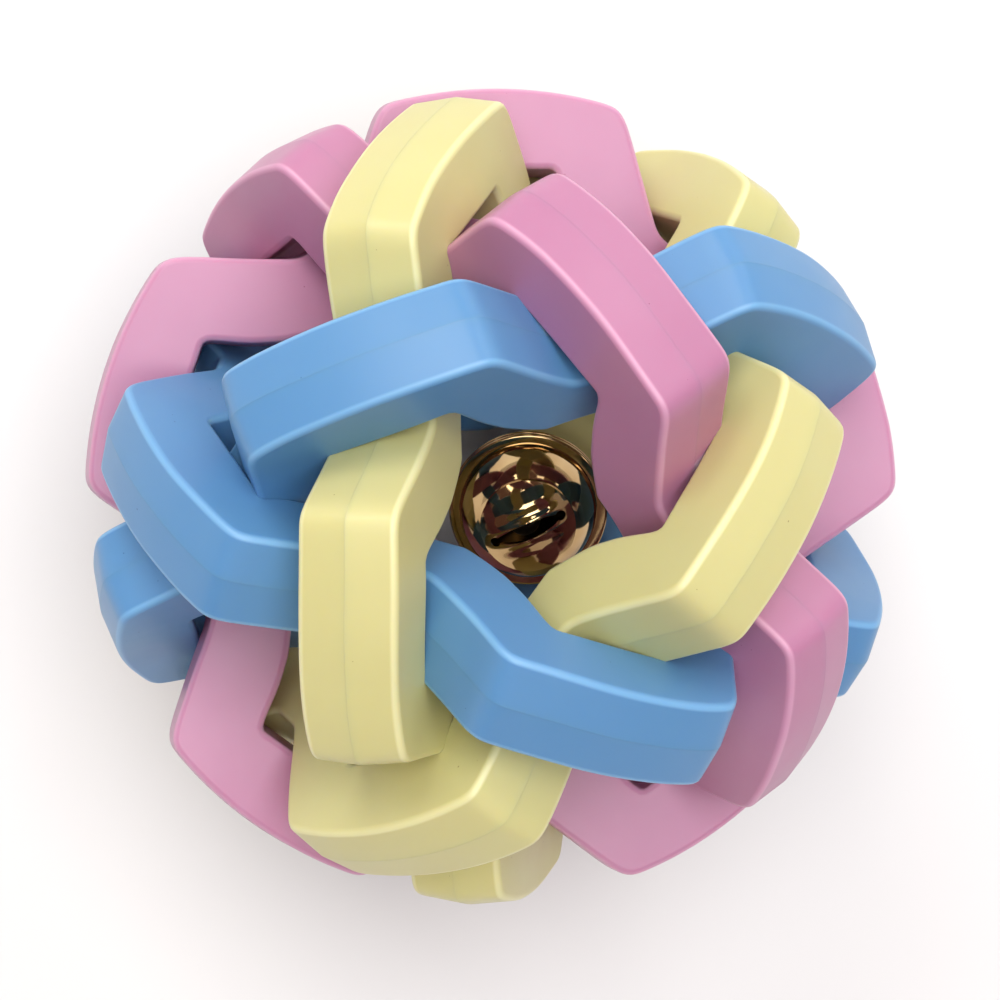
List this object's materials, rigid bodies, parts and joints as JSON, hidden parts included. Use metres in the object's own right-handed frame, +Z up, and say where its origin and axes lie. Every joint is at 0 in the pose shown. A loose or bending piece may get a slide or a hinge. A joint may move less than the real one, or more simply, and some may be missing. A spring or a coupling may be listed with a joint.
{
  "type": "woven rubber bell ball",
  "caption": "Openwork toy ball of closed soft rubber rings woven over and under each other around a loose jingle bell.",
  "frame": {"origin": "on the floor, below the middle of the ball, which stands on the five lobes around its lower five-sided opening", "axes": "+Z up through the upper and lower five-sided openings; +Y through the crown of one lobe of the pink equator ring"},
  "size_m": [0.0706, 0.0706, 0.0673],
  "materials": {
    "pink_rubber": "satin moulded thermoplastic rubber, pastel pink",
    "yellow_rubber": "satin moulded thermoplastic rubber, pastel yellow",
    "blue_rubber": "satin moulded thermoplastic rubber, pastel blue",
    "bell_brass": "bright polished brass plate",
    "pellet_steel": "plain steel shot"
  },
  "bodies": {
    "pink_equator": {"pink_ring_equator": "pink_rubber"},
    "yellow_right": {"yellow_ring_right": "yellow_rubber"},
    "blue_upper": {"blue_ring_upper": "blue_rubber"},
    "yellow_left": {"yellow_ring_left": "yellow_rubber"},
    "pink_lower": {"pink_ring_lower": "pink_rubber"},
    "blue_lower": {"blue_ring_lower": "blue_rubber"},
    "bell": {"bell_slotted_shell": "bell_brass", "bell_loop_shell": "bell_brass", "bell_wire_loop": "bell_brass"},
    "pellet": {"bell_pellet": "pellet_steel"}
  },
  "joints": [
    {"name": "yellow_right_slip", "type": "hinge", "parent": "pink_equator", "child": "yellow_right", "pos_m": [0, 0, 0.03367], "axis": [0.8944, 0, 0.4472], "range_deg": [-0.6, 0.6]},
    {"name": "blue_upper_slip", "type": "hinge", "parent": "pink_equator", "child": "blue_upper", "pos_m": [0, 0, 0.03367], "axis": [0.2764, 0.8507, 0.4472], "range_deg": [-0.6, 0.6]},
    {"name": "yellow_left_slip", "type": "hinge", "parent": "pink_equator", "child": "yellow_left", "pos_m": [0, 0, 0.03367], "axis": [-0.7236, 0.5257, 0.4472], "range_deg": [-0.6, 0.6]},
    {"name": "pink_lower_slip", "type": "hinge", "parent": "pink_equator", "child": "pink_lower", "pos_m": [0, 0, 0.03367], "axis": [-0.7236, -0.5257, 0.4472], "range_deg": [-0.6, 0.6]},
    {"name": "blue_lower_slip", "type": "hinge", "parent": "pink_equator", "child": "blue_lower", "pos_m": [0, 0, 0.03367], "axis": [0.2764, -0.8507, 0.4472], "range_deg": [-0.6, 0.6]},
    {"name": "bell_rattle", "type": "slide", "parent": "pink_equator", "child": "bell", "axis": [0, 0, 1], "range_m": [0, 0.0235]},
    {"name": "pellet_rattle", "type": "slide", "parent": "bell", "child": "pellet", "axis": [0, 0, 1], "range_m": [0, 0.0085]}
  ]
}
